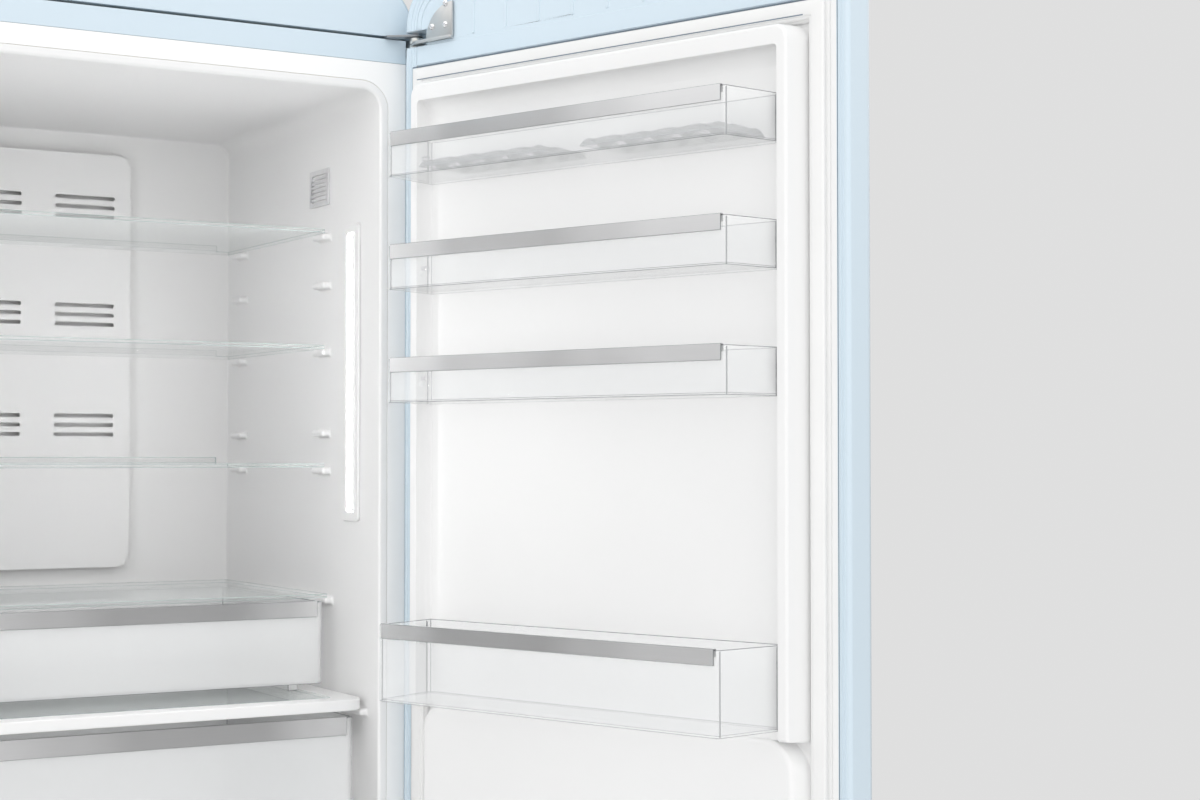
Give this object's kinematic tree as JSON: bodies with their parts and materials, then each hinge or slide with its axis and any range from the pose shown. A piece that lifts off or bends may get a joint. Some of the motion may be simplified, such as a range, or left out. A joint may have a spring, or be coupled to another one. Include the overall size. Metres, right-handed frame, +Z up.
{
  "type": "bottom freezer refrigerator",
  "caption": "Tall two-door refrigerator with a rounded hood: glass shelves, clear door racks and drawers above, a freezer with drawers below.",
  "frame": {"origin": "centre of the sole of the front left levelling foot, on the floor", "axes": "+X to the right seen from the front, +Y from the front to the back, +Z up"},
  "size_m": [0.9953, 1.358, 2.041],
  "materials": {
    "blue_enamel": "smooth gloss enamel",
    "blue_plastic": "smooth gloss",
    "white_liner": "smooth satin",
    "white_enamel": "smooth gloss enamel",
    "clear_plastic": "clear polished",
    "shelf_glass": "clear polished float glass",
    "satin_trim": "fine brushed satin",
    "hinge_steel": "satin nickel plated",
    "chrome_bar": "polished",
    "gasket_white": "matt soft",
    "foam": "rigid polyurethane foam",
    "galvanised": "satin",
    "black_enamel": "satin black",
    "dark_plastic": "matt moulded",
    "grey_plastic": "matt moulded",
    "lamp_lens": "opal",
    "bare_aluminium": "mill"
  },
  "bodies": {
    "cabinet": {"cabinet_wrap": "blue_enamel", "hood_fascia": "blue_enamel", "top_rail": "blue_enamel", "front_frame": "white_enamel", "fridge_liner": "white_liner", "freezer_liner": "white_liner", "cabinet_foam": "foam", "back_panel": "blue_enamel", "machine_cover": "galvanised", "condenser_coil": "black_enamel", "base_frame": "galvanised", "compressor": "black_enamel", "plinth_grille": "blue_enamel", "air_duct": "white_liner", "led_housings": "white_liner", "led_lenses": "lamp_lens", "wall_vent": "grey_plastic", "crisper_cover_frame": "white_liner", "crisper_cover_glass": "shelf_glass", "chill_lid": "shelf_glass", "freezer_rear_cover": "white_liner", "evaporator": "bare_aluminium", "top_hinge": "hinge_steel", "middle_hinge": "hinge_steel"},
    "left_foot": {"left_foot": "dark_plastic"},
    "right_foot": {"right_foot": "dark_plastic"},
    "left_roller": {"left_roller": "dark_plastic"},
    "right_roller": {"right_roller": "dark_plastic"},
    "fan": {"fan_rotor": "dark_plastic"},
    "upper_shelf": {"upper_shelf": "shelf_glass"},
    "middle_shelf": {"middle_shelf": "shelf_glass"},
    "lower_shelf": {"lower_shelf": "shelf_glass"},
    "chill_drawer": {"chill_drawer": "clear_plastic", "chill_drawer_trim": "satin_trim"},
    "crisper_drawer": {"crisper_drawer": "clear_plastic", "crisper_drawer_trim": "satin_trim"},
    "upper_freezer_drawer": {"upper_freezer_drawer": "clear_plastic"},
    "middle_freezer_drawer": {"middle_freezer_drawer": "clear_plastic"},
    "lower_freezer_drawer": {"lower_freezer_drawer": "clear_plastic"},
    "fridge_door": {"fridge_door_skin": "blue_enamel", "fridge_door_foam": "foam", "fridge_door_liner": "white_liner", "fridge_door_gasket": "gasket_white", "fridge_door_top_panel": "blue_plastic", "fridge_door_hinge_plate": "hinge_steel", "fridge_door_handle": "chrome_bar"},
    "freezer_door": {"freezer_door_skin": "blue_enamel", "freezer_door_foam": "foam", "freezer_door_liner": "white_liner", "freezer_door_gasket": "gasket_white", "freezer_door_handle": "chrome_bar"},
    "upper_rack": {"upper_rack": "clear_plastic", "upper_rack_trim": "satin_trim", "egg_trays": "clear_plastic"},
    "middle_rack": {"middle_rack": "clear_plastic", "middle_rack_trim": "satin_trim"},
    "lower_rack": {"lower_rack": "clear_plastic", "lower_rack_trim": "satin_trim"},
    "bottle_rack": {"bottle_rack": "clear_plastic", "bottle_rack_trim": "satin_trim"}
  },
  "joints": [
    {"name": "fridge_door_swing", "type": "hinge", "parent": "cabinet", "child": "fridge_door", "pos_m": [0.653, -0.071, 0], "axis": [0, 0, 1], "range_deg": [-108.4, 8]},
    {"name": "freezer_door_swing", "type": "hinge", "parent": "cabinet", "child": "freezer_door", "pos_m": [0.653, -0.071, 0], "axis": [0, 0, 1], "range_deg": [-100, 8]},
    {"name": "upper_rack_lift", "type": "slide", "parent": "fridge_door", "child": "upper_rack", "axis": [0, 0, 1], "range_m": [0, 0.03]},
    {"name": "middle_rack_lift", "type": "slide", "parent": "fridge_door", "child": "middle_rack", "axis": [0, 0, 1], "range_m": [0, 0.03]},
    {"name": "lower_rack_lift", "type": "slide", "parent": "fridge_door", "child": "lower_rack", "axis": [0, 0, 1], "range_m": [0, 0.03]},
    {"name": "bottle_rack_lift", "type": "slide", "parent": "fridge_door", "child": "bottle_rack", "axis": [0, 0, 1], "range_m": [0, 0.03]},
    {"name": "upper_shelf_slide", "type": "slide", "parent": "cabinet", "child": "upper_shelf", "axis": [0, -1, 0], "range_m": [0, 0.25]},
    {"name": "middle_shelf_slide", "type": "slide", "parent": "cabinet", "child": "middle_shelf", "axis": [0, -1, 0], "range_m": [0, 0.25]},
    {"name": "lower_shelf_slide", "type": "slide", "parent": "cabinet", "child": "lower_shelf", "axis": [0, -1, 0], "range_m": [0, 0.25]},
    {"name": "chill_drawer_slide", "type": "slide", "parent": "cabinet", "child": "chill_drawer", "axis": [0, -1, 0], "range_m": [0, 0.22]},
    {"name": "crisper_drawer_slide", "type": "slide", "parent": "cabinet", "child": "crisper_drawer", "axis": [0, -1, 0], "range_m": [0, 0.28]},
    {"name": "upper_freezer_drawer_slide", "type": "slide", "parent": "cabinet", "child": "upper_freezer_drawer", "axis": [0, -1, 0], "range_m": [0, 0.28]},
    {"name": "middle_freezer_drawer_slide", "type": "slide", "parent": "cabinet", "child": "middle_freezer_drawer", "axis": [0, -1, 0], "range_m": [0, 0.28]},
    {"name": "lower_freezer_drawer_slide", "type": "slide", "parent": "cabinet", "child": "lower_freezer_drawer", "axis": [0, -1, 0], "range_m": [0, 0.22]},
    {"name": "fan_spin", "type": "hinge", "parent": "cabinet", "child": "fan", "pos_m": [0.308, 0.466, 0.604], "axis": [0, 1, 0], "continuous": true},
    {"name": "left_roller_roll", "type": "hinge", "parent": "cabinet", "child": "left_roller", "pos_m": [0, 0.553, 0.018], "axis": [1, 0, 0], "continuous": true},
    {"name": "right_roller_roll", "type": "hinge", "parent": "cabinet", "child": "right_roller", "pos_m": [0.616, 0.553, 0.018], "axis": [1, 0, 0], "continuous": true},
    {"name": "left_foot_adjust", "type": "slide", "parent": "cabinet", "child": "left_foot", "axis": [0, 0, -1], "range_m": [0, 0.015]},
    {"name": "right_foot_adjust", "type": "slide", "parent": "cabinet", "child": "right_foot", "axis": [0, 0, -1], "range_m": [0, 0.015]}
  ]
}
